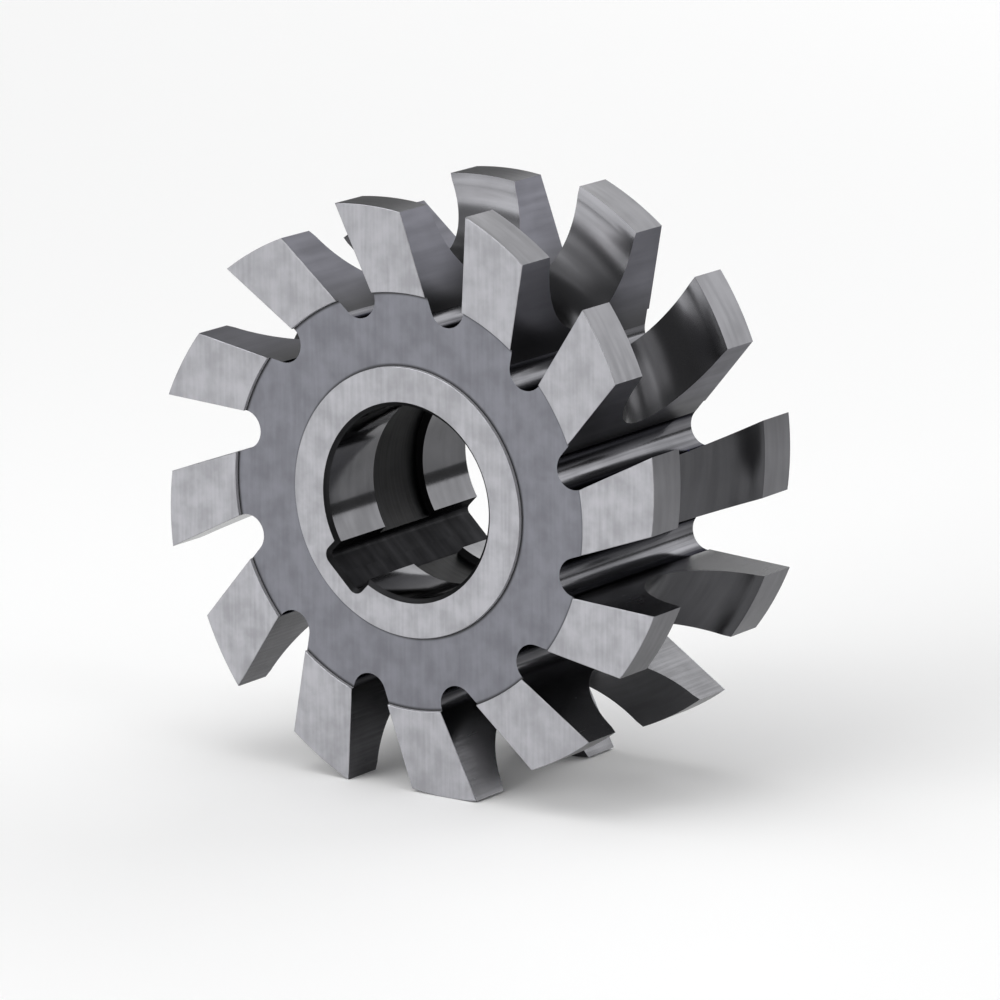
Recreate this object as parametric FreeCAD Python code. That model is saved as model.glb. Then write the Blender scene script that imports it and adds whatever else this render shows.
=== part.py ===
import FreeCAD, Part
import os
from math import acos, atan2, cos, degrees, hypot, pi, radians, sin, sqrt, tan

# A concave milling cutter: one piece of high-speed steel, with form-relieved teeth that mill a convex
# half round. Lengths are in millimetres and angles in degrees.

# Blank
tip_diameter = 100.0
cutter_width = 40.0

# Teeth: the rake leans the cutting face forward of the radius through its tip, the land runs back from
# that tip, and the backing-off is how far a land would fall over one whole tooth pitch.
tooth_count = 12
rake_angle = 11.0
land_angle = 15.0
backing_off = 4.2

# Gullets: a straight-sided groove with a full round at its foot
gullet_angle = 23.0
gullet_nose_radius = 3.25

# Concave form: a half round centred on the tip circle, with a slightly opened mouth
form_radius = 12.0
mouth_depth = 1.2
mouth_angle = 20.0

# Side faces: a hub ring level with the sides of the teeth, and a shallow recess between them. The hub wall
# is the steel that the ring keeps outside the keyway's floor.
hub_wall = 3.7
recess_diameter = 69.4
recess_depth = 0.6

# Bore: two ground lands with a relief between them, and a keyway whose depth is measured across the bore
bore_diameter = 32.0
bore_chamfer = 0.7
bore_relief_diameter = 35.0
bore_relief_length = 14.0
keyway_width = 8.0
keyway_reach = 34.8
keyway_corner_radius = 1.0

# Cutting volumes pass the surfaces that they open by this much, and the form is turned through this many
# tooth pitches before it is trimmed to one tooth
overrun = 1.0
form_sweep_pitches = 3

# Sizes that follow from the ones above
tip_radius = tip_diameter / 2
half_width = cutter_width / 2
bore_radius = bore_diameter / 2
keyway_floor = keyway_reach - bore_radius
hub_radius = keyway_floor + hub_wall
tooth_pitch = 360.0 / tooth_count
relief_offset = backing_off * tooth_count / (2 * pi)
relief_radius = hypot(tip_radius, relief_offset)
axis = FreeCAD.Vector(0, 0, 1)
centre = FreeCAD.Vector(0, 0, 0)


def polar(radius, angle, height=0.0):
    """Point at a radius and an angle about the bore, at a height along it."""
    return FreeCAD.Vector(radius * cos(radians(angle)), radius * sin(radians(angle)), height)


def turned(shape, angle):
    """Copy of a shape, turned about the bore."""
    copy = shape.copy()
    copy.rotate(centre, axis, angle)
    return copy


def one_tooth_forward(point):
    """The same point of the next tooth forward."""
    return FreeCAD.Rotation(axis, tooth_pitch).multVec(point)


def prism(edges, bottom, height):
    """Solid that stands on a closed outline."""
    face = Part.Face(Part.Wire(edges))
    face.translate(axis * bottom)
    return face.extrude(axis * height)


def polygon_edges(points):
    """Edges of a closed outline with straight sides."""
    return Part.makePolygon(points + points[:1]).Edges


def land_point(turn):
    """Point of the first tooth's land, at a turn back from its tip.

    The land is part of a circle about the relief axis, which stands beside the bore by the relief offset,
    so that its distance r from the bore obeys r^2 + 2 r offset sin(turn) = tip radius^2.
    """
    slide = relief_offset * sin(radians(turn))
    return polar(sqrt(slide * slide + tip_radius * tip_radius) - slide, -turn)


def lines_meet(start, angle, other_start, other_angle):
    """Point where a line through each start, at its own angle, meets the other."""
    along, across = polar(1, angle), polar(1, other_angle)
    gap = other_start - start
    return start + along * ((gap.x * across.y - gap.y * across.x) / (along.x * across.y - along.y * across.x))


class Gullet:
    """Outline of the gullet behind the first tooth, up to the cutting face of the next one."""

    def __init__(self):
        self.back_end = land_point(land_angle)
        self.next_tip = polar(tip_radius, -tooth_pitch)
        next_face_lean = rake_angle - tooth_pitch
        back_lean = next_face_lean + gullet_angle
        self.apex = lines_meet(self.back_end, back_lean, self.next_tip, next_face_lean)
        self.middle_angle = (back_lean + next_face_lean) / 2
        half_angle = radians(gullet_angle / 2)
        foot = gullet_nose_radius / tan(half_angle)
        self.back_foot = self.apex + polar(foot, back_lean)
        self.face_foot = self.apex + polar(foot, next_face_lean)
        self.nose_centre = self.apex + polar(gullet_nose_radius / sin(half_angle), self.middle_angle)
        self.nose_bottom = self.nose_centre - polar(gullet_nose_radius, self.middle_angle)


def toothed_blank(gullet):
    """Full-width blank with its lands and gullets, before the form is cut."""
    tooth_edges = [
        Part.Arc(land_point(0), land_point(land_angle / 2), gullet.back_end).toShape(),
        Part.LineSegment(gullet.back_end, gullet.back_foot).toShape(),
        Part.Arc(gullet.back_foot, gullet.nose_bottom, gullet.face_foot).toShape(),
        Part.LineSegment(gullet.face_foot, gullet.next_tip).toShape(),
    ]
    outline = [turned(edge, -tooth * tooth_pitch) for tooth in range(tooth_count) for edge in tooth_edges]
    return prism(outline, -half_width, cutter_width)


def form_section(angle):
    """Section of the concave form, in a plane through the relief axis at the given angle."""
    relief_axis = polar(relief_offset, 90)
    mouth_foot = sqrt(form_radius ** 2 - mouth_depth ** 2)
    mouth_top = mouth_foot + (mouth_depth + overrun) * tan(radians(mouth_angle))

    def place(reach, across):
        return relief_axis + polar(relief_radius + reach, angle, across)

    sides = Part.makePolygon([
        place(-mouth_depth, mouth_foot),
        place(overrun, mouth_top),
        place(overrun, -mouth_top),
        place(-mouth_depth, -mouth_foot),
    ])
    half_round = Part.Arc(
        place(-mouth_depth, -mouth_foot),
        place(-form_radius, 0),
        place(-mouth_depth, mouth_foot),
    )
    return Part.Face(Part.Wire(sides.Edges + [half_round.toShape()]))


def form_groove(gullet):
    """What the form takes off the first tooth: the section turned about the relief axis, gullet to gullet.

    It is made of spline surfaces, which hold the same arcs and need fewer facets.
    """
    tip_angle = -degrees(atan2(relief_offset, tip_radius))
    section = form_section(tip_angle + tooth_pitch)
    sweep = form_sweep_pitches * tooth_pitch
    ring = section.revolve(polar(relief_offset, 90), -axis, sweep).toNurbs()
    behind = gullet.nose_centre
    far_behind = behind + polar(tip_diameter, gullet.middle_angle)
    reach = polygon_edges([behind, far_behind, one_tooth_forward(far_behind), one_tooth_forward(behind)])
    return ring.common(prism(reach, -half_width - overrun, cutter_width + 2 * overrun))


def side_recesses():
    """Shallow rings between the hub and the sides of the teeth, on both faces."""
    rings = []
    for bottom in (-half_width, half_width - recess_depth):
        disc = Part.makeCylinder(recess_diameter / 2, recess_depth, axis * bottom)
        rings.append(disc.cut(Part.makeCylinder(hub_radius, recess_depth, axis * bottom)))
    return rings


def keyway():
    """Keyway along the whole bore, in line with the tip of the second tooth, with rounded floor corners."""
    half = keyway_width / 2
    slot = prism(polygon_edges([
        FreeCAD.Vector(0, -half, 0),
        FreeCAD.Vector(keyway_floor, -half, 0),
        FreeCAD.Vector(keyway_floor, half, 0),
        FreeCAD.Vector(0, half, 0),
    ]), -half_width, cutter_width)
    corners = []
    for edge in slot.Edges:
        if edge.BoundBox.XMin > half and edge.BoundBox.ZLength > half_width:
            corners.append(edge)
    return turned(slot.makeFillet(keyway_corner_radius, corners), -tooth_pitch)


def mouth_edges(body):
    """Edges where the bore and its keyway come out of the two hub faces."""
    edges = []
    for face in body.Faces:
        box = face.BoundBox
        on_hub_face = box.ZLength < recess_depth / 2 and abs(box.ZMin) > half_width - recess_depth / 2
        round_the_bore = box.XMin < 0 < box.XMax and box.YMin < 0 < box.YMax
        if on_hub_face and round_the_bore:
            inner = [wire for wire in face.Wires if not wire.isSame(face.OuterWire)]
            edges += [edge for wire in inner for edge in wire.Edges]
    return edges


def cutter_body():
    """The whole cutter, with its bore along the local vertical."""
    gullet = Gullet()
    groove = form_groove(gullet)
    grooves = [turned(groove, tooth * tooth_pitch) for tooth in range(tooth_count)]
    bore = Part.makeCylinder(bore_radius, cutter_width, axis * -half_width)
    body = toothed_blank(gullet).cut(grooves).cut(side_recesses()).cut([bore, keyway()])
    body = body.makeChamfer(bore_chamfer, mouth_edges(body))
    relief = Part.makeCylinder(bore_relief_diameter / 2, bore_relief_length, axis * (-bore_relief_length / 2))
    return body.cut(relief)


def standing_angle():
    """Angle of the first tooth's tip when that tip and the land of the tooth ahead both touch the ground.

    The land's lowest point lies under its relief axis, so with the tip turned t back from straight down,
    tip radius cos(t) + offset sin(pitch - t) = relief radius.
    """
    level = tip_radius + relief_offset * sin(radians(tooth_pitch))
    side = relief_offset * cos(radians(tooth_pitch))
    turn = acos(relief_radius / hypot(level, side)) - atan2(side, level)
    return -90.0 - degrees(turn)


def standing(body):
    """The cutter on its two lowest teeth, with its bore along Y and the seen face towards -Y."""
    body = turned(body, standing_angle())
    body.rotate(centre, FreeCAD.Vector(1, 0, 0), 90)
    return body


os.makedirs("parts", exist_ok=True)
(cutter,) = standing(cutter_body()).Solids
cutter.exportStep("parts/cutter_body.step")
print("cutter_body", "valid", cutter.isValid(), "volume", round(cutter.Volume), "faces", len(cutter.Faces))
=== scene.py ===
import logging
from dataclasses import dataclass
from enum import Enum
from math import acos, atan2, cos, degrees, hypot, pi, radians, sin, sqrt, tan

import bmesh
import bpy
import numpy as np
from mathutils import Matrix, Vector


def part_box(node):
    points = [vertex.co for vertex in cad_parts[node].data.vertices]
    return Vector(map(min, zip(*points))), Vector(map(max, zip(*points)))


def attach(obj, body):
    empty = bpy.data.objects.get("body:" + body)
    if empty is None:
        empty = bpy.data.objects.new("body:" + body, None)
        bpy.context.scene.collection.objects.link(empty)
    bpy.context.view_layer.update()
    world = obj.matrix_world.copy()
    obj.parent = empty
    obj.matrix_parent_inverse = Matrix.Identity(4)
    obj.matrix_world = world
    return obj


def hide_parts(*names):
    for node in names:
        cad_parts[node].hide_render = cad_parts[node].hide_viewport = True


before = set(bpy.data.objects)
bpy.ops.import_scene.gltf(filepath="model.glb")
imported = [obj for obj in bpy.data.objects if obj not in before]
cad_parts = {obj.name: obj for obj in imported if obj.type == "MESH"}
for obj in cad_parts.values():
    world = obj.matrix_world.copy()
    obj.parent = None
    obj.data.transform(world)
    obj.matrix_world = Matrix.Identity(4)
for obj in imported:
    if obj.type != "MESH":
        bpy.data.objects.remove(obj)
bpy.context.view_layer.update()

# A concave milling cutter, dressed as one closed skin over its solid. Points in the plane of the wheel are
# complex numbers, with X as the real part and Z as the imaginary part, so a turn about the bore is a product.
# Y runs along the bore and is called across. Lengths of the cutter are in millimetres until the mesh is made.

Array = np.ndarray
Socket = bpy.types.NodeSocket
Triple = tuple[float, float, float]
Paint = tuple[float, float, float, float]
Span = tuple[float, float]

MM = 0.001
NODE = "cutter_body"
MARKS_MAP = "marks"

# Octaves of every noise, and the part of its range that is stretched over the whole tone of a finish
NOISE_DETAIL = 3.0
TONE_LIMITS = (0.3, 0.7)

# Sockets of a Mix node that is set to colours, whose names its other kinds share
MIX_SHARE, MIX_LOW, MIX_HIGH = 0, 6, 7
MIX_COLOUR = 2

log = logging.getLogger("cutter")


def turn(angle: Array | float) -> Array | complex:
    """Unit complex number at an angle in degrees.

    Args:
        angle: One angle or an array of them.

    Returns:
        The exponential of i times the angle.
    """
    return np.exp(1j * np.radians(angle))


def steps(count: int) -> Array:
    """Column of even shares from 0 to 1, one more than the count of steps between them."""
    return np.linspace(0, 1, count + 1)[:, None]


def lengths_along(plane: Array) -> Array:
    """Running length down the first axis of a grid of places in the plane of the wheel.

    Args:
        plane: Grid of complex numbers.

    Returns:
        A grid of the same shape, zero in its first row.
    """
    strides = np.abs(np.diff(plane, axis=0))
    return np.concatenate([np.zeros_like(plane[:1].real), np.cumsum(strides, axis=0)])


def doubled(loop: Array) -> Array:
    """Grid of two rows that both hold the same points."""
    return np.repeat(loop[None, :], 2, axis=0)


def placed(name: str, data: bpy.types.ID) -> bpy.types.Object:
    """Puts a mesh, a lamp or a camera into the scene.

    Args:
        name: Name of the object.
        data: What the object shows.

    Returns:
        The object, at the origin.
    """
    made = bpy.data.objects.new(name, data)
    bpy.context.scene.collection.objects.link(made)
    return made


class Region(Enum):
    """Zones of the skin. The value is the place of the zone's finish among the mesh's materials."""

    SIDE = 0
    RECESS = 1
    LAND = 2
    FORM = 3
    RAKE = 4
    BACK = 5
    GULLET = 6
    BORE = 7
    BORE_RELIEF = 8
    KEYWAY = 9
    MOUTH = 10
    STEP = 11
    EDGE = 12


@dataclass(frozen=True)
class Line:
    """Straight line in the plane of the wheel.

    Attributes:
        start: Point of the line.
        heading: Its direction, of length 1.
    """

    start: complex
    heading: complex

    def at(self, reach: Array | float) -> Array:
        """Point at a distance along the line."""
        return self.start + self.heading * reach

    def reach_to_circle(self, centre: complex, radius: Array | float) -> Array:
        """Distance along the line to its outer crossing with a circle.

        The reach t is the larger root of |start + heading t - centre|^2 = radius^2.

        Args:
            centre: Centre of the circle.
            radius: Its radius, or an array of radii.

        Returns:
            The reach for each radius.
        """
        gap = self.start - centre
        along = (gap * np.conj(self.heading)).real
        return -along + np.sqrt(along * along - abs(gap) ** 2 + np.square(radius))

    def meets(self, other: "Line") -> complex:
        """Point where this line crosses another one.

        Args:
            other: The other line.

        Returns:
            The crossing, at the reach (gap x other heading) / (heading x other heading).
        """
        gap = other.start - self.start
        across = (np.conj(gap) * other.heading).imag
        return self.at(across / (np.conj(self.heading) * other.heading).imag)


@dataclass(frozen=True)
class CutterSizes:
    """Driving sizes of the cutter, in millimetres and degrees, and what follows from them."""

    tip_diameter: float = 100.0
    width: float = 40.0
    tooth_count: int = 12
    rake: float = 11.0
    land: float = 15.0
    backing_off: float = 4.2
    gullet_angle: float = 23.0
    gullet_nose: float = 3.25
    form_radius: float = 12.0
    mouth_depth: float = 1.2
    mouth_angle: float = 20.0
    hub_wall: float = 3.7
    recess_diameter: float = 69.4
    recess_depth: float = 0.6
    bore_diameter: float = 32.0
    bore_chamfer: float = 0.7
    bore_relief_diameter: float = 35.0
    bore_relief_length: float = 14.0
    keyway_width: float = 8.0
    keyway_reach: float = 34.8
    keyway_corner: float = 1.0

    @property
    def tip_radius(self) -> float:
        """Radius of the circle through the tips."""
        return self.tip_diameter / 2

    @property
    def half_width(self) -> float:
        """Distance of each side face from the middle plane."""
        return self.width / 2

    @property
    def floor_half_width(self) -> float:
        """Distance of each recess floor from the middle plane."""
        return self.half_width - self.recess_depth

    @property
    def recess_radius(self) -> float:
        """Outer radius of the side recesses."""
        return self.recess_diameter / 2

    @property
    def pitch(self) -> float:
        """Angle from one tooth to the next."""
        return 360.0 / self.tooth_count

    @property
    def relief_offset(self) -> float:
        """Distance of the relief axis from the bore's axis."""
        return self.backing_off * self.tooth_count / (2 * pi)

    @property
    def relief_centre(self) -> complex:
        """Relief axis of the tooth whose tip is at angle zero."""
        return 1j * self.relief_offset

    @property
    def relief_radius(self) -> float:
        """Radius of a land about its relief axis."""
        return hypot(self.tip_radius, self.relief_offset)

    @property
    def bore_radius(self) -> float:
        """Radius of the bore's ground lands."""
        return self.bore_diameter / 2

    @property
    def keyway_floor(self) -> float:
        """Distance of the keyway's floor from the bore's axis."""
        return self.keyway_reach - self.bore_radius

    @property
    def hub_radius(self) -> float:
        """Outer radius of the hub ring."""
        return self.keyway_floor + self.hub_wall

    @property
    def standing(self) -> float:
        """Angle of the first tip when it and the land of the tooth ahead both touch the floor.

        With the tip turned t back from straight down, radius cos(t) + offset sin(pitch - t) = relief radius.

        Returns:
            The angle, in degrees.
        """
        level = self.tip_radius + self.relief_offset * sin(radians(self.pitch))
        side = self.relief_offset * cos(radians(self.pitch))
        turn_back = acos(self.relief_radius / hypot(level, side)) - atan2(side, level)
        return -90.0 - degrees(turn_back)


SIZES = CutterSizes()


class Skin:
    """Grid patches of one closed surface, gathered before they become a mesh."""

    def __init__(self) -> None:
        """Starts an empty skin."""
        self.points: list[Array] = []
        self.quads: list[Array] = []
        self.marks: list[Array] = []
        self.regions: list[Array] = []
        self.count = 0

    def patch(self, plane: Array, across: Array | float, region: Region, marks: tuple[Array, Array]) -> None:
        """Adds one grid of quads.

        Args:
            plane: Places in the plane of the wheel, as a grid of complex numbers.
            across: Places along the bore, of the grid's shape or one that spreads to it.
            region: The zone that the quads belong to.
            marks: Lengths across and along the tool marks, each of a shape that spreads to the grid's.
        """
        rows, columns = plane.shape
        across = np.broadcast_to(across, plane.shape)
        self.points.append(np.stack([plane.real, across, plane.imag], axis=-1).reshape(-1, 3))
        index = self.count + np.arange(rows * columns).reshape(rows, columns)
        corners = [index[:-1, :-1], index[:-1, 1:], index[1:, 1:], index[1:, :-1]]
        quads = np.stack(corners, axis=-1).reshape(-1, 4)
        grid = np.stack([np.broadcast_to(mark, plane.shape) for mark in marks], axis=-1)
        self.marks.append(grid.reshape(-1, 2)[quads - self.count].reshape(-1, 2))
        self.quads.append(quads)
        self.regions.append(np.full(len(quads), region.value))
        self.count += rows * columns

    def loose_mesh(self, name: str) -> bpy.types.Mesh:
        """Puts the patches side by side into a mesh, in metres.

        Args:
            name: Name of the mesh.

        Returns:
            The mesh, with the tool marks as a UV map and one material index for each region.
        """
        points = np.concatenate(self.points) * MM
        quads = np.concatenate(self.quads)
        mesh = bpy.data.meshes.new(name)
        mesh.vertices.add(len(points))
        mesh.vertices.foreach_set("co", points.astype(np.float32).ravel())
        mesh.loops.add(quads.size)
        mesh.loops.foreach_set("vertex_index", quads.astype(np.int32).ravel())
        mesh.polygons.add(len(quads))
        mesh.polygons.foreach_set("loop_start", np.arange(0, quads.size, 4, dtype=np.int32))
        mesh.polygons.foreach_set("material_index", np.concatenate(self.regions).astype(np.int32))
        marks = mesh.uv_layers.new(name=MARKS_MAP)
        marks.data.foreach_set("uv", (np.concatenate(self.marks) * MM).astype(np.float32).ravel())
        mesh.update(calc_edges=True)
        return mesh

    def mesh(self, name: str, weld: float) -> bpy.types.Mesh:
        """Welds the patches into one closed, smooth mesh whose faces point outwards.

        Args:
            name: Name of the mesh.
            weld: Distance in millimetres under which corners become one.

        Returns:
            The mesh.
        """
        mesh = self.loose_mesh(name)
        shape = bmesh.new()
        shape.from_mesh(mesh)
        bmesh.ops.remove_doubles(shape, verts=shape.verts, dist=weld * MM)
        bmesh.ops.recalc_face_normals(shape, faces=shape.faces)
        open_edges = sum(not edge.is_manifold for edge in shape.edges)
        log.info("%s: %d faces, %d open edges", name, len(shape.faces), open_edges)
        shape.to_mesh(mesh)
        shape.free()
        mesh.shade_smooth()
        return mesh


@dataclass(frozen=True)
class ToothRing:
    """The relieved teeth and the gullets between them, with the tip of the first tooth at angle zero.

    Attributes:
        sizes: The cutter's sizes.
        land_columns: Steps across each side land.
        form_columns: Steps round the concave form.
        sweep_rows: Steps from the cutting face to the back.
        wall_rows: Steps up a cutting face or a back.
        foot_rows: Steps up the lowest part of a back.
        nose_rows: Steps round the foot of a gullet.
    """

    sizes: CutterSizes
    land_columns: int = 6
    form_columns: int = 48
    sweep_rows: int = 14
    wall_rows: int = 8
    foot_rows: int = 3
    nose_rows: int = 20

    @property
    def face(self) -> Line:
        """Line of the cutting face, from its tip outwards."""
        return Line(complex(self.sizes.tip_radius), turn(self.sizes.rake))

    @property
    def land_end(self) -> complex:
        """Point where the land ends, on its circle about the relief axis."""
        slide = self.sizes.relief_offset * sin(radians(self.sizes.land))
        return (sqrt(slide ** 2 + self.sizes.tip_radius ** 2) - slide) * turn(-self.sizes.land)

    @property
    def back(self) -> Line:
        """Line of the tooth's back.

        Returns:
            The line, from the foot where the gullet's round begins.
        """
        lean = self.sizes.rake - self.sizes.pitch + self.sizes.gullet_angle
        line = Line(self.land_end, turn(lean))
        apex = line.meets(self.next_face)
        foot = self.sizes.gullet_nose / tan(radians(self.sizes.gullet_angle / 2))
        return Line(apex + line.heading * foot, line.heading)

    @property
    def next_face(self) -> Line:
        """Line of the cutting face on the far side of the gullet behind the tooth."""
        turned = turn(-self.sizes.pitch)
        return Line(self.face.start * turned, self.face.heading * turned)

    @property
    def nose_centre(self) -> complex:
        """Centre of the round at the foot of the gullet behind the tooth."""
        return self.back.start - 1j * self.back.heading * self.sizes.gullet_nose

    @property
    def back_mark(self) -> complex:
        """Point of the back that lies on the recess circle."""
        return self.back.at(self.back.reach_to_circle(0, self.sizes.recess_radius))

    @property
    def face_mark(self) -> complex:
        """Foot of the cutting face, on the round of the gullet ahead.

        Returns:
            The point of that round that lies on the recess circle.
        """
        nose = self.nose_centre
        reach, radius = abs(nose), self.sizes.recess_radius
        opening = acos((reach ** 2 + radius ** 2 - self.sizes.gullet_nose ** 2) / (2 * reach * radius))
        return radius * nose / reach * turn(self.sizes.pitch - degrees(opening))

    def profile(self) -> tuple[Array, Array]:
        """Profile of a tooth from one side face to the other.

        Across the lands the depth is zero. The form is a half round: across = radius sin(a) and
        depth = radius cos(a), joined to the lands by a short flared mouth.

        Returns:
            Places across, and depths below the land towards the relief axis.
        """
        sizes = self.sizes
        mouth_foot = sqrt(sizes.form_radius ** 2 - sizes.mouth_depth ** 2)
        mouth_top = mouth_foot + sizes.mouth_depth * tan(radians(sizes.mouth_angle))
        land = np.linspace(sizes.floor_half_width, mouth_top, self.land_columns + 1)
        side = np.concatenate([[sizes.half_width], land])
        limit = np.pi / 2 - np.arcsin(sizes.mouth_depth / sizes.form_radius)
        sweep = np.linspace(-limit, limit, self.form_columns + 1)
        across = np.concatenate([-side, sizes.form_radius * np.sin(sweep), side[::-1]])
        flat = np.zeros_like(side)
        return across, np.concatenate([flat, sizes.form_radius * np.cos(sweep), flat])

    def relieved(self, depth: Array) -> Array:
        """Grid of the relieved surface: each profile point turned about the relief axis, from face to back.

        Args:
            depth: Depth of each column of the profile.

        Returns:
            Places with one row for each step of the turn.
        """
        centre = self.sizes.relief_centre
        radius = self.sizes.relief_radius - depth
        start = np.angle(self.face.at(self.face.reach_to_circle(centre, radius)) - centre)
        end = np.angle(self.back.at(self.back.reach_to_circle(centre, radius)) - centre)
        return centre + radius * np.exp(1j * (start + (end - start) * steps(self.sweep_rows)))

    def rake_face(self, depth: Array) -> Array:
        """Grid of the cutting face, from the recess circle straight out to the relieved surface.

        Args:
            depth: Depth of each column of the profile.

        Returns:
            Places with one row for each step outwards.
        """
        outer = self.relieved(depth)[0]
        return self.face_mark + (outer - self.face_mark) * steps(self.wall_rows)

    def back_reach(self, depth: Array) -> Array:
        """Height of the relieved surface above the gullet's round, along the line of the back."""
        return self.back.reach_to_circle(self.sizes.relief_centre, self.sizes.relief_radius - depth)

    def back_waist(self, outer: Array) -> Array:
        """Height above the gullet's round at which the two grids of the back meet.

        Args:
            outer: Height of the relieved surface in each column.

        Returns:
            The height of the recess circle, or half the outer height where that is less.
        """
        mark = (self.back_mark - self.back.start) / self.back.heading
        return np.minimum(outer / 2, mark.real)

    def back_face(self, depth: Array) -> Array:
        """Grid of the back from its waist outwards.

        Args:
            depth: Depth of each column of the profile.

        Returns:
            Places with one row for each step outwards.
        """
        outer = self.back_reach(depth)
        inner = self.back_waist(outer)
        return self.back.at(inner + (outer - inner) * steps(self.wall_rows))

    def back_foot(self, depth: Array) -> Array:
        """Grid of the back from the gullet's round up to its waist."""
        return self.back.at(self.back_waist(self.back_reach(depth)) * steps(self.foot_rows))

    def nose(self) -> Array:
        """Points round the gullet's foot: its centre plus a radius that turns by even steps.

        Returns:
            The points, from the back to the next tooth's cutting face.
        """
        centre = self.nose_centre
        start = self.back.start - centre
        end = self.face_mark * turn(-self.sizes.pitch) - centre
        sweep = np.angle(end / start) % (2 * np.pi)
        return centre + start * np.exp(1j * sweep * np.linspace(0, 1, self.nose_rows + 1))

    def add_to(self, skin: Skin) -> None:
        """Adds the relieved surfaces, cutting faces, backs and gullet floors of every tooth.

        The tool marks of each tooth are shifted by another length, so that no two teeth look alike.

        Args:
            skin: The skin that takes them.
        """
        across, depth = self.profile()
        length = np.concatenate([[0], np.cumsum(np.hypot(np.diff(across), np.diff(depth)))])
        form_start = self.land_columns + 1
        form_end = len(across) - 1 - form_start
        bands = [
            (slice(0, form_start + 1), Region.LAND),
            (slice(form_start, form_end + 1), Region.FORM),
            (slice(form_end, len(across)), Region.LAND),
        ]
        inner = slice(1, -1)
        relieved, rake, back = self.relieved(depth), self.rake_face(depth), self.back_face(depth)
        foot = self.back_foot(depth[inner])
        below = lengths_along(foot) - lengths_along(foot)[-1]
        nose = np.repeat(self.nose()[:, None], len(across[inner]), axis=1)
        for tooth in range(self.sizes.tooth_count):
            turned = turn(self.sizes.standing + tooth * self.sizes.pitch)
            shift = tooth * self.sizes.tip_diameter
            for band, region in bands:
                grid = relieved[:, band]
                skin.patch(grid * turned, across[band], region, (length[band], lengths_along(grid) + shift))
            along, inner_along = across + shift, across[inner] + shift
            skin.patch(rake * turned, across, Region.RAKE, (lengths_along(rake), along))
            skin.patch(back * turned, across, Region.BACK, (lengths_along(back), along))
            skin.patch(foot * turned, across[inner], Region.BACK, (below, inner_along))
            skin.patch(nose * turned, across[inner], Region.GULLET, (lengths_along(nose), inner_along))


@dataclass(frozen=True)
class SideFaces:
    """Sides of the teeth, the shallow recesses and the hub rings, on both faces of the wheel.

    Attributes:
        sizes: The cutter's sizes.
        teeth: The teeth that the side faces close.
        fan_radius: Circle of the recess floor, outside which its grid fans out to the gullets.
        floor_rows: Steps on each side of that circle.
    """

    sizes: CutterSizes
    teeth: ToothRing
    fan_radius: float = 29.0
    floor_rows: int = 3

    def tooth_side(self) -> Array:
        """Grid of one tooth's side: straight blends between its four edges, less the blend of its corners.

        Returns:
            Places from the recess circle outwards, with columns from the cutting face to the back.
        """
        land = np.zeros(1)
        left, right = self.teeth.rake_face(land), self.teeth.back_face(land)
        top, bottom = self.teeth.relieved(land).T, self.recess_arc()[None, :]
        across = steps(self.teeth.sweep_rows).T
        up = steps(self.teeth.wall_rows)
        corners = (1 - up) * ((1 - across) * left[0] + across * right[0])
        corners = corners + up * ((1 - across) * left[-1] + across * right[-1])
        return (1 - across) * left + across * right + (1 - up) * bottom + up * top - corners

    def recess_arc(self) -> Array:
        """Points of the recess circle under one tooth, from its cutting face to its back."""
        start, end = np.angle(self.teeth.face_mark), np.angle(self.teeth.back_mark)
        return self.sizes.recess_radius * np.exp(1j * np.linspace(start, end, self.teeth.sweep_rows + 1))

    def outer_loop(self) -> Array:
        """Outline of a recess floor: under each tooth, down its back and round the gullet's foot.

        Returns:
            Points of the closed outline, of which the last repeats the first.
        """
        down = self.teeth.back_foot(np.zeros(1))[::-1, 0]
        one = np.concatenate([self.recess_arc()[:-1], down[:-1], self.teeth.nose()[:-1]])
        turns = turn(self.sizes.standing - np.arange(self.sizes.tooth_count) * self.sizes.pitch)
        loop = (turns[:, None] * one).ravel()
        return np.append(loop, loop[0])

    def circle(self, radius: float) -> Array:
        """Closed circle of evenly spaced points, turned so that it faces the gullets of the outer loop.

        Args:
            radius: Its radius.

        Returns:
            As many points as the outer loop has.
        """
        loop = self.outer_loop()
        per_tooth = (len(loop) - 1) // self.sizes.tooth_count
        middle = per_tooth - self.teeth.nose_rows / 2
        start = np.angle(self.teeth.nose_centre, deg=True) + self.sizes.standing
        angles = start - (np.arange(len(loop)) - middle) * self.sizes.pitch / per_tooth
        return radius * turn(angles)

    def floor(self) -> Array:
        """Grid of a recess floor: straight from the hub ring to the fan circle, and on to the outer loop.

        Returns:
            Places with one row for each step outwards.
        """
        hub, fan, outer = self.circle(self.sizes.hub_radius), self.circle(self.fan_radius), self.outer_loop()
        share = steps(self.floor_rows)
        inner_part = hub + (fan - hub) * share
        return np.concatenate([inner_part, fan + (outer - fan) * share[1:]])

    def add_to(self, skin: Skin) -> None:
        """Adds both sides of every tooth, and the recess walls and floors.

        Args:
            skin: The skin that takes them.
        """
        side, arc = self.tooth_side(), doubled(self.recess_arc())
        floor, hub = self.floor(), doubled(self.circle(self.sizes.hub_radius))
        for hand in (-1, 1):
            face, ledge = hand * self.sizes.half_width, hand * self.sizes.floor_half_width
            step = np.array([[ledge], [face]])
            for tooth in range(self.sizes.tooth_count):
                turned = turn(self.sizes.standing + tooth * self.sizes.pitch)
                grid = side * turned
                skin.patch(grid, face, Region.SIDE, (grid.real, grid.imag))
                skin.patch(arc * turned, step, Region.STEP, (step, lengths_along(arc.T).T))
            skin.patch(floor, ledge, Region.RECESS, (floor.real, floor.imag))
            skin.patch(hub, step, Region.STEP, (step, lengths_along(hub.T).T))


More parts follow.
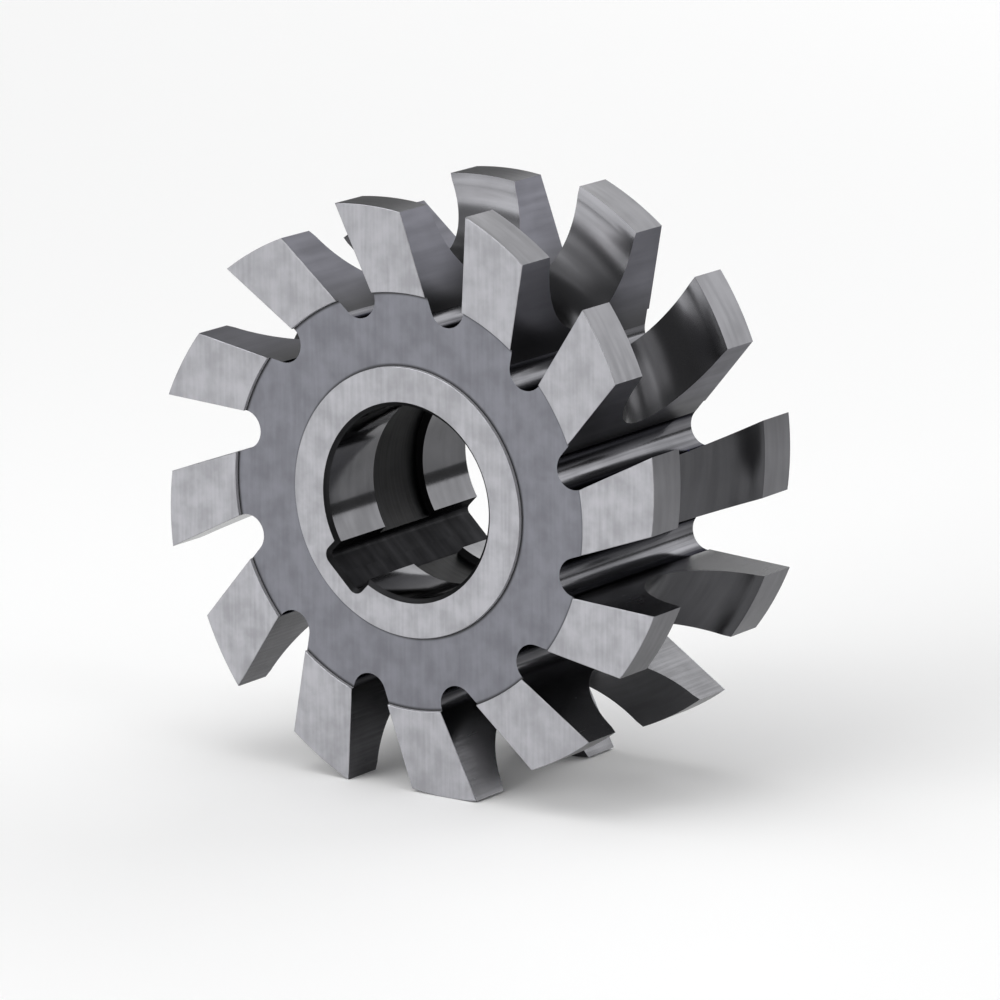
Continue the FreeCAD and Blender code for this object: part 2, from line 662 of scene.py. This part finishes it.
@dataclass(frozen=True)
class KeyedBore:
    """Hub faces, chamfered mouths, ground lands, relief and keyway of the bore.

    Attributes:
        sizes: The cutter's sizes.
        sides: The side faces, whose circles the hub faces meet.
        floor_points: Steps along half the keyway's floor.
        corner_points: Steps round each of its floor corners.
        land_rows: Steps along each ground land, and along the relief.
        hub_rows: Steps across a hub face on each side of its even circle.
        even_radius: Circle of a hub face, outside which its points grow even.
    """

    sizes: CutterSizes
    sides: SideFaces
    floor_points: int = 3
    corner_points: int = 8
    land_rows: int = 6
    hub_rows: int = 3
    even_radius: float = 20.6

    def key_half(self, circle: float, growth: float) -> Array:
        """Half of the keyway's outline: along its floor, round the corner and up its side to the circle.

        Every half has a point where the bore's relief crosses the side, so that the lands and the relief
        have the same columns.

        Args:
            circle: Radius of the bore there.
            growth: Distance by which the keyway is larger all round.

        Returns:
            The points, for a keyway that lies along X.
        """
        sizes = self.sizes
        half = sizes.keyway_width / 2 + growth
        floor, corner = sizes.keyway_floor + growth, sizes.keyway_corner + growth
        relief = sizes.bore_relief_diameter / 2 + growth
        flat = floor + 1j * np.linspace(0, half - corner, self.floor_points + 1)[:-1]
        bend = floor - corner + 1j * (half - corner)
        bend = bend + corner * turn(np.linspace(0, 90, self.corner_points + 1))
        side = np.array([sqrt(relief ** 2 - half ** 2), sqrt(circle ** 2 - half ** 2)]) + 1j * half
        return np.concatenate([flat, bend, side])

    def outline(self, circle: float, growth: float) -> Array:
        """Closed outline of the bore and its keyway: one half of the keyway, an arc and the other half.

        Args:
            circle: Radius of the round part.
            growth: Distance by which the keyway is larger all round.

        Returns:
            As many points as the side faces' circles have, clockwise from the middle of the keyway's floor
            round to the same point.
        """
        key = self.key_half(circle, growth)
        opening = np.angle(key[-1])
        shared_ends = 2
        arc_points = len(self.sides.circle(circle)) - 2 * len(key) + shared_ends
        arc = circle * np.exp(1j * np.linspace(opening, 2 * np.pi - opening, arc_points))
        loop = np.concatenate([key, arc[1:-1], np.conj(key[::-1])])
        return np.conj(loop) * turn(self.sizes.standing - self.sizes.pitch)

    def facing(self) -> Array:
        """The hub ring's outer circle, begun beside the middle of the keyway.

        Returns:
            Points of the closed circle, of which the last repeats the first.
        """
        ring = self.sides.circle(self.sizes.hub_radius)[:-1]
        keyway = turn(self.sizes.standing - self.sizes.pitch)
        first = int(np.argmax((ring * np.conj(keyway)).real))
        ring = np.roll(ring, -first)
        return np.append(ring, ring[0])

    def hub_face(self, mouth: Array) -> Array:
        """Grid of a hub face: straight out from the mouth to the even circle, and on to the hub ring's edge.

        Args:
            mouth: Outline of the bore's mouth on that face.

        Returns:
            Places from the mouth outwards.
        """
        share = steps(self.hub_rows)
        circle = mouth / abs(mouth) * self.even_radius
        inner_part = mouth + (circle - mouth) * share
        return np.concatenate([inner_part, circle + (self.facing() - circle) * share[1:]])

    def bands(self, outline: Array) -> list[tuple[slice, Region]]:
        """Splits an outline into its keyway, its round part and its keyway again.

        Args:
            outline: Any outline of the bore and its keyway.

        Returns:
            The columns of each part, with its region.
        """
        key = len(self.key_half(self.sizes.bore_radius, 0.0))
        return [
            (slice(0, key), Region.KEYWAY),
            (slice(key - 1, len(outline) - key + 1), Region.BORE),
            (slice(len(outline) - key, len(outline)), Region.KEYWAY),
        ]

    def walls(self, skin: Skin, outline: Array, near: float, far: float, bore: Region) -> None:
        """Adds the walls of the bore and the keyway between two places along the bore.

        Args:
            skin: The skin that takes them.
            outline: Outline of the bore and its keyway.
            near: Place along the bore where the walls begin.
            far: Place where they end.
            bore: Region of the round part.
        """
        across = near + (far - near) * steps(self.land_rows)
        for part, region in self.bands(outline):
            wall = np.repeat(outline[None, part], self.land_rows + 1, axis=0)
            region = bore if region is Region.BORE else region
            skin.patch(wall, across, region, (across, lengths_along(wall.T).T))

    def add_to(self, skin: Skin) -> None:
        """Adds both hub faces and mouths, the two ground lands, the relief between them and the keyway.

        Args:
            skin: The skin that takes them.
        """
        sizes = self.sizes
        mouth = self.outline(sizes.bore_radius + sizes.bore_chamfer, sizes.bore_chamfer)
        land = self.outline(sizes.bore_radius, 0.0)
        relief = self.outline(sizes.bore_relief_diameter / 2, 0.0)
        hub, chamfer, step = self.hub_face(mouth), np.stack([land, mouth]), np.stack([land, relief])
        face, edge = sizes.half_width, sizes.half_width - sizes.bore_chamfer
        shoulder = sizes.bore_relief_length / 2
        for hand in (-1, 1):
            skin.patch(hub, hand * face, Region.SIDE, (hub.real, hub.imag))
            across = hand * np.array([[edge], [face]])
            skin.patch(chamfer, across, Region.MOUTH, (across, lengths_along(chamfer.T).T))
            skin.patch(step, hand * shoulder, Region.BORE_RELIEF, (abs(step), lengths_along(step.T).T))
            self.walls(skin, land, hand * shoulder, hand * edge, Region.BORE)
        self.walls(skin, relief, -shoulder, shoulder, Region.BORE_RELIEF)


class Value:
    """A number socket of a shader, on which Python's arithmetic adds Math nodes."""

    def __init__(self, graph: "Graph", socket: Socket) -> None:
        """Wraps a socket.

        Args:
            graph: The graph that the socket belongs to.
            socket: An output socket that carries a number.
        """
        self.graph = graph
        self.socket = socket

    def math(self, operation: str, *inputs: "Value | float") -> "Value":
        """Adds one Math node.

        Args:
            operation: The node's operation.
            inputs: Its inputs in order.

        Returns:
            The node's result.
        """
        node = self.graph.node("ShaderNodeMath", {"operation": operation}, dict(enumerate(inputs)))
        return Value(self.graph, node.outputs[0])

    def __add__(self, other: "Value | float") -> "Value":
        """Sum."""
        return self.math("ADD", self, other)

    def __radd__(self, other: float) -> "Value":
        """Sum with a number on the left."""
        return self.math("ADD", other, self)

    def __sub__(self, other: "Value | float") -> "Value":
        """Difference."""
        return self.math("SUBTRACT", self, other)

    def __rsub__(self, other: float) -> "Value":
        """Difference from a number on the left."""
        return self.math("SUBTRACT", other, self)

    def __mul__(self, other: "Value | float") -> "Value":
        """Product."""
        return self.math("MULTIPLY", self, other)

    def __rmul__(self, other: float) -> "Value":
        """Product with a number on the left."""
        return self.math("MULTIPLY", other, self)

    def __abs__(self) -> "Value":
        """Size without the sign."""
        return self.math("ABSOLUTE", self)

    def between(self, low: float, high: float) -> "Value":
        """Share of the way from one number to another, kept between 0 and 1 and smoothed at both ends.

        Args:
            low: Where the share is 0.
            high: Where the share is 1.

        Returns:
            The share.
        """
        settings = {"interpolation_type": "SMOOTHSTEP", "clamp": True}
        inputs = {"Value": self, "From Min": low, "From Max": high}
        return Value(self.graph, self.graph.node("ShaderNodeMapRange", settings, inputs).outputs[0])


class Graph:
    """Node tree of one material."""

    def __init__(self, name: str) -> None:
        """Starts an empty material.

        Args:
            name: Name of the material.
        """
        self.material = bpy.data.materials.new(name)
        self.material.use_nodes = True
        self.tree = self.material.node_tree
        self.tree.nodes.clear()

    def node(self, kind: str, settings: dict | None = None, inputs: dict | None = None) -> bpy.types.Node:
        """Adds a node.

        Args:
            kind: The node's type.
            settings: Its properties, which are set first.
            inputs: Values or links of its sockets, by name or number.

        Returns:
            The node.
        """
        made = self.tree.nodes.new(kind)
        for key, value in (settings or {}).items():
            setattr(made, key, value)
        for key, value in (inputs or {}).items():
            socket = value.socket if isinstance(value, Value) else value
            if isinstance(socket, Socket):
                self.tree.links.new(socket, made.inputs[key])
            else:
                made.inputs[key].default_value = socket
        return made

    def noise(self, place: Socket, scale: Triple) -> Value:
        """Noise between 0 and 1 over places that are first stretched.

        Args:
            place: Where the noise is read.
            scale: Waves in a metre along each axis.

        Returns:
            The noise.
        """
        stretched = self.node("ShaderNodeVectorMath", {"operation": "MULTIPLY"}, {0: place, 1: scale})
        inputs = {"Vector": stretched.outputs[0], "Scale": 1.0, "Detail": NOISE_DETAIL}
        return Value(self, self.node("ShaderNodeTexNoise", None, inputs).outputs[0])

    def distance_from_bore(self, place: Socket) -> Value:
        """Distance from the bore's axis, which is the Y axis: the length of X and Z together.

        Args:
            place: Where the distance is read.

        Returns:
            The distance, in metres.
        """
        flat = self.node("ShaderNodeVectorMath", {"operation": "MULTIPLY"}, {0: place, 1: (1.0, 0.0, 1.0)})
        length = self.node("ShaderNodeVectorMath", {"operation": "LENGTH"}, {0: flat.outputs[0]})
        return Value(self, length.outputs["Value"])

    def blend(self, share: Value, low: Triple | Socket, high: Triple) -> Socket:
        """Blends two colours.

        Args:
            share: Share of the second colour.
            low: The first colour, or the result of another blend.
            high: The second colour.

        Returns:
            The blend.
        """
        settings = {"data_type": "RGBA", "clamp_factor": True}
        low = (*low, 1.0) if isinstance(low, tuple) else low
        inputs = {MIX_SHARE: share, MIX_LOW: low, MIX_HIGH: (*high, 1.0)}
        return self.node("ShaderNodeMix", settings, inputs).outputs[MIX_COLOUR]

    def finished(self, shader: bpy.types.Node) -> bpy.types.Material:
        """The material, with a shader as its surface."""
        self.node("ShaderNodeOutputMaterial", None, {"Surface": shader.outputs[0]})
        return self.material


def grey(value: float) -> Paint:
    """Opaque grey of a brightness."""
    return value, value, value, 1.0


def steel_tone(value: float, cool: float = 1.06) -> Triple:
    """Colour of steel at a brightness, with a slightly stronger blue."""
    return value, value, value * cool


def waves(length: float) -> float:
    """Waves in a metre, for a wave of a length in millimetres."""
    return 1 / (length * MM)


@dataclass(frozen=True)
class Finish:
    """One machined finish of the steel: streaks along the tool marks over soft blotches.

    Attributes:
        name: Name of the material.
        dark: Colour where the tone is low.
        light: Colour where the tone is high.
        roughness: Roughness where the tone is high, and where it is low.
        metallic: How far it is bare metal.
        streak_width: Width of a streak, in millimetres.
        streak_length: Length of a streak, in millimetres.
        blotch_size: Size of a blotch, in millimetres.
        streak_share: Share of the streaks in the tone. The blotches have the rest.
        mark_height: Height of the tool marks, in millimetres.
        on_marks: Whether the streaks follow the map of the tool marks. Otherwise they run along Z.
        glancing: Brightness of what it reflects at a glancing angle.
        corners: Radii about the bore, in millimetres, near which it darkens with painted shade, as in a
            corner.
        painted_shade_width: Distances from such a radius, in millimetres, up to which the painted shade is
            darkest and from which on the colour is unchanged.
        painted_shade_tone: Brightness of the painted shade at such a radius.
    """

    name: str
    dark: Triple
    light: Triple
    roughness: Span
    metallic: float = 1.0
    streak_width: float = 0.5
    streak_length: float = 20.0
    blotch_size: float = 5.0
    streak_share: float = 0.6
    mark_height: float = 0.003
    on_marks: bool = True
    glancing: float = 1.0
    corners: tuple[float, ...] = ()
    painted_shade_width: Span = (1.0, 9.0)
    painted_shade_tone: float = 0.05

    def streaks(self, graph: Graph, places: Socket) -> Value:
        """Noise that is short across the tool marks and long along them.

        Args:
            graph: The material's graph.
            places: Object coordinates.

        Returns:
            The noise.
        """
        across, along = waves(self.streak_width), waves(self.streak_length)
        if self.on_marks:
            marks = graph.node("ShaderNodeUVMap", {"uv_map": MARKS_MAP}).outputs["UV"]
            return graph.noise(marks, (across, along, 0.0))
        return graph.noise(places, (across, 0.0, along))

    def colour(self, graph: Graph, places: Socket, tone: Value) -> Socket:
        """Colour from dark to light with the tone, and darker near the radii of the corners.

        Args:
            graph: The material's graph.
            places: Object coordinates.
            tone: The tone, from 0 to 1.

        Returns:
            The colour.
        """
        colour = graph.blend(tone, self.dark, self.light)
        dark_within, gone_beyond = self.painted_shade_width
        # Painted shade: near each corner radius the colour blends towards the dark tone of the shade.
        for corner in self.corners:
            distance = abs(graph.distance_from_bore(places) - corner * MM)
            shade_share = 1 - distance.between(dark_within * MM, gone_beyond * MM)
            colour = graph.blend(shade_share, colour, steel_tone(self.painted_shade_tone))
        return colour

    def build(self) -> bpy.types.Material:
        """Makes the material.

        The tone is a mix of streaks and blotches, and drives the colour and the roughness. The streaks are
        also the height of the tool marks.

        Returns:
            The material.
        """
        graph = Graph(self.name)
        places = graph.node("ShaderNodeTexCoord").outputs["Object"]
        streaks = self.streaks(graph, places)
        blotches = graph.noise(places, (waves(self.blotch_size),) * 3)
        tone = streaks * self.streak_share + blotches * (1 - self.streak_share)
        tone = tone.between(*TONE_LIMITS)
        low, high = self.roughness
        bump = graph.node("ShaderNodeBump", None, {
            "Strength": 1.0,
            "Distance": self.mark_height * MM,
            "Height": streaks,
        })
        return graph.finished(graph.node("ShaderNodeBsdfPrincipled", None, {
            "Base Color": self.colour(graph, places, tone),
            "Specular Tint": grey(self.glancing),
            "Metallic": self.metallic,
            "Roughness": tone * (low - high) + high,
            "Normal": bump.outputs[0],
        }))


# Radius just above the bottom of the gullets, near which the cutting faces and the backs darken with painted
# shade
GULLET_FOOT = 31.0

FINISHES: dict[Region, Finish] = {
    Region.SIDE: Finish(
        "ground_side", dark=steel_tone(0.32), light=steel_tone(0.48), roughness=(0.28, 0.36),
        streak_width=0.7, streak_length=12.0, blotch_size=3.5, streak_share=0.35,
        mark_height=0.0015, on_marks=False,
    ),
    Region.RECESS: Finish(
        "blued_recess", dark=(0.15, 0.152, 0.171), light=(0.2, 0.203, 0.228), roughness=(0.44, 0.52),
        metallic=0.85, streak_width=0.8, streak_length=12.0, blotch_size=4.0, streak_share=0.3,
        mark_height=0.002, on_marks=False,
        # Painted shade along the foot of the hub ring and along the rim of the recess
        corners=(SIZES.hub_radius, SIZES.recess_radius), painted_shade_width=(0.15, 0.65),
    ),
    Region.LAND: Finish(
        "relieved_land", dark=steel_tone(0.14), light=steel_tone(0.168), roughness=(0.28, 0.36),
        streak_width=1.2, streak_length=12.0, mark_height=0.0015, glancing=0.9,
    ),
    Region.FORM: Finish(
        "relieved_form", dark=steel_tone(0.068), light=steel_tone(0.09), roughness=(0.2, 0.27),
        streak_width=1.6, streak_length=25.0, blotch_size=8.0, mark_height=0.002,
    ),
    Region.RAKE: Finish(
        "rake_face", dark=steel_tone(0.09), light=steel_tone(0.14), roughness=(0.2, 0.28),
        # Painted shade near the foot of the gullet
        corners=(GULLET_FOOT,),
    ),
    Region.BACK: Finish(
        "tooth_back", dark=steel_tone(0.098, 1.15), light=steel_tone(0.13, 1.15), roughness=(0.3, 0.38),
        metallic=0.95, streak_width=2.0, streak_length=30.0, blotch_size=8.0,
        # Painted shade near the foot of the gullet
        mark_height=0.002, glancing=0.75, corners=(GULLET_FOOT,),
    ),
    Region.GULLET: Finish(
        "gullet_floor", dark=steel_tone(0.09), light=steel_tone(0.21), roughness=(0.14, 0.22),
        streak_width=1.2, streak_length=60.0, blotch_size=8.0, streak_share=0.8, glancing=0.1,
    ),
    Region.BORE: Finish(
        "ground_bore", dark=steel_tone(0.08), light=steel_tone(0.124), roughness=(0.09, 0.13),
        streak_width=2.0, streak_length=30.0, blotch_size=8.0, streak_share=0.35, mark_height=0.001,
    ),
    # The near-black colour of the bore's relief is painted shade inside the bore
    Region.BORE_RELIEF: Finish(
        "bore_relief", dark=steel_tone(0.012), light=steel_tone(0.02), roughness=(0.5, 0.6), metallic=0.8,
    ),
    Region.KEYWAY: Finish(
        "keyway_wall", dark=steel_tone(0.025), light=steel_tone(0.04), roughness=(0.45, 0.55),
        metallic=0.95, streak_width=2.0, mark_height=0.001, glancing=0.3,
    ),
    Region.MOUTH: Finish(
        "turned_mouth", dark=steel_tone(0.015), light=steel_tone(0.03), roughness=(0.4, 0.5),
    ),
    Region.STEP: Finish(
        "turned_step", dark=steel_tone(0.45), light=steel_tone(0.55), roughness=(0.5, 0.6), metallic=0.4,
    ),
    Region.EDGE: Finish(
        "honed_edge", dark=steel_tone(0.28), light=steel_tone(0.38), roughness=(0.3, 0.38),
        streak_width=2.0, streak_length=2.0, blotch_size=2.0, mark_height=0.001, on_marks=False,
    ),
}


@dataclass(frozen=True)
class MillingCutter:
    """The whole cutter as one closed skin with honed edges.

    Attributes:
        sizes: The cutter's sizes.
        edge_width: Width of a honed edge, in millimetres.
        edge_segments: Facets across a honed edge.
        edge_angle: Angle between two faces from which on their edge is honed, in degrees.
        crease_angle: Angle from which on the shading breaks, in degrees.
        weld: Distance in millimetres under which corners of the patches become one.
    """

    sizes: CutterSizes
    edge_width: float = 0.1
    edge_segments: int = 2
    edge_angle: float = 25.0
    crease_angle: float = 13.0
    weld: float = 0.002

    def build(self) -> bpy.types.Object:
        """Makes the dressed cutter.

        Returns:
            The object, at the origin, with one material for each region.
        """
        teeth = ToothRing(self.sizes)
        sides = SideFaces(self.sizes, teeth)
        skin = Skin()
        for part in (teeth, sides, KeyedBore(self.sizes, sides)):
            part.add_to(skin)
        mesh = skin.mesh("cutter_skin", self.weld)
        for region in Region:
            mesh.materials.append(FINISHES[region].build())
        mesh.set_sharp_from_angle(angle=radians(self.crease_angle))
        self.mark_honed_edges(mesh)
        cutter = placed("dressed_cutter", mesh)
        self.hone(cutter)
        return cutter

    def mark_honed_edges(self, mesh: bpy.types.Mesh) -> None:
        """Gives a bevel weight to the outer edges of the sides and of the hub faces, where they stand out.

        Args:
            mesh: The welded mesh.
        """
        shape = bmesh.new()
        shape.from_mesh(mesh)
        weights = shape.edges.layers.float.new("bevel_weight_edge")
        for edge in shape.edges:
            stands_out = edge.calc_face_angle_signed(0.0) > radians(self.edge_angle)
            regions = [face.material_index for face in edge.link_faces]
            rims = Region.SIDE.value in regions and Region.MOUTH.value not in regions
            edge[weights] = float(stands_out and rims)
        shape.to_mesh(mesh)
        shape.free()

    def hone(self, cutter: bpy.types.Object) -> None:
        """Rounds the edges that have a bevel weight.

        Args:
            cutter: The dressed cutter.
        """
        edges = cutter.modifiers.new("honed_edges", "BEVEL")
        edges.width = self.edge_width * MM
        edges.segments = self.edge_segments
        edges.limit_method = "WEIGHT"
        edges.use_clamp_overlap = False
        edges.harden_normals = True
        edges.material = Region.EDGE.value


@dataclass(frozen=True)
class Lamp:
    """An even, soft lamp that faces the cutter and that the camera doesn't see.

    Attributes:
        name: Name of the lamp.
        place: Where its middle stands, in metres.
        width: Its level side, in metres.
        height: Its other side, in metres.
        radiance: Its brightness, where 1 looks white.
    """

    name: str
    place: Triple
    width: float
    height: float
    radiance: float

    def build(self) -> None:
        """Makes the lamp. Its power is pi times its area times its radiance."""
        data = bpy.data.lights.new(self.name, "AREA")
        data.shape = "RECTANGLE"
        data.size = self.width
        data.size_y = self.height
        data.energy = pi * self.width * self.height * self.radiance
        lamp = placed(self.name, data)
        lamp.visible_camera = False
        lamp.location = self.place
        lamp.rotation_euler = Vector(self.place).to_track_quat("Z", "Y").to_euler()


@dataclass(frozen=True)
class ProductCamera:
    """The camera, which looks past the middle of the cutter by two small shifts.

    Attributes:
        azimuth: Angle of the view round the upright axis, in degrees.
        elevation: Angle of the view above the floor, in degrees.
        roll: Turn of the picture, in degrees.
        distance: Distance from the cutter, in millimetres.
        shift_right: Distance of the cutter's middle from the picture's, to the right, in millimetres.
        shift_up: The same upwards.
        lens: Focal length, in millimetres.
        sensor: Width of the sensor, in millimetres.
        clip: Nearest and farthest distance that it sees, in metres.
    """

    azimuth: float = 35.163
    elevation: float = 13.171
    roll: float = -0.441
    distance: float = 1090.0
    shift_right: float = -3.816
    shift_up: float = 3.3
    lens: float = 238.2
    sensor: float = 36.0
    clip: Span = (0.05, 20.0)

    def build(self) -> None:
        """Makes the camera, with its view turned to the azimuth, elevation and roll."""
        azimuth, elevation, roll = (radians(angle) for angle in (self.azimuth, self.elevation, self.roll))
        level = cos(elevation)
        back = Vector((sin(azimuth) * level, -cos(azimuth) * level, sin(elevation)))
        right = Vector((cos(azimuth), sin(azimuth), 0))
        up = back.cross(right)
        rolled_right = right * cos(roll) + up * sin(roll)
        rolled_up = up * cos(roll) - right * sin(roll)
        place = (back * self.distance - rolled_right * self.shift_right - rolled_up * self.shift_up) * MM
        data = bpy.data.cameras.new("camera")
        data.lens = self.lens
        data.sensor_width = self.sensor
        data.clip_start, data.clip_end = self.clip
        camera = placed("camera", data)
        axes = Matrix((rolled_right, rolled_up, back)).transposed()
        camera.matrix_world = Matrix.Translation(place) @ axes.to_4x4()
        bpy.context.scene.camera = camera


LAMPS = (
    Lamp("key_lamp", place=(-2.1, -2.3, 2.18), width=4.0, height=4.8, radiance=0.86),
    Lamp("band_lamp", place=(-1.6, -4.34, 1.36), width=3.8, height=2.4, radiance=4.4),
    Lamp("side_lamp", place=(1.37, 0.34, 0.51), width=0.7, height=0.45, radiance=1.3),
    Lamp("back_lamp", place=(0.29, 1.605, 0.76), width=2.7, height=1.17, radiance=2.1),
    Lamp("table_lamp", place=(-0.02, -0.12, 0.36), width=0.3, height=0.3, radiance=1.2),
    Lamp("top_lamp", place=(-0.1, 0.1, 2.0), width=1.4, height=1.4, radiance=0.9),
    Lamp("right_lamp", place=(1.7, -0.3, 1.25), width=1.3, height=1.5, radiance=0.9),
    Lamp("left_lamp", place=(-1.7, 0.3, 1.25), width=1.2, height=1.3, radiance=0.75),
)


@dataclass(frozen=True)
class Studio:
    """Pale round floor, the even light of the room, the lamps and the camera.

    Attributes:
        lamps: The lamps.
        camera: The camera.
        floor_radius: Radius of the floor, in metres.
        floor_points: Corners round its rim.
        floor_tone: Its brightness.
        room_tone: Brightness of the room's even light.
    """

    lamps: tuple[Lamp, ...]
    camera: ProductCamera
    floor_radius: float = 1.0
    floor_points: int = 96
    floor_tone: float = 0.93
    room_tone: float = 0.22

    def floor(self) -> None:
        """Makes the floor, one flat face at the foot of the cutter."""
        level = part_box(NODE)[0].z
        rim = self.floor_radius * turn(np.linspace(0, 360, self.floor_points, endpoint=False))
        points = np.stack([rim.real, rim.imag, np.full(len(rim), level)], axis=-1)
        mesh = bpy.data.meshes.new("floor")
        mesh.from_pydata(points.tolist(), [], [list(range(len(rim)))])
        graph = Graph("pale_floor")
        paint = graph.node("ShaderNodeBsdfDiffuse", None, {"Color": grey(self.floor_tone)})
        mesh.materials.append(graph.finished(paint))
        floor = placed("floor", mesh)

    def room(self) -> None:
        """Sets the even light of the room."""
        world = bpy.data.worlds.new("room")
        world.use_nodes = True
        world.node_tree.nodes["Background"].inputs[0].default_value = grey(self.room_tone)
        bpy.context.scene.world = world

    def build(self) -> None:
        """Builds the floor, the lights and the camera."""
        self.floor()
        self.room()
        for lamp in self.lamps:
            lamp.build()
        self.camera.build()
        bpy.context.scene.view_settings.view_transform = "Standard"


def main() -> None:
    """Builds the cutter and its studio."""
    logging.basicConfig(level=logging.INFO, format="%(name)s: %(message)s")
    cutter = MillingCutter(SIZES).build()
    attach(cutter, "root")
    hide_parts(NODE)
    log.info("dressed cutter built with %d materials", len(cutter.data.materials))
    Studio(LAMPS, ProductCamera()).build()
    log.info("studio built with %d lamps", len(LAMPS))


if __name__ == "__main__":
    main()
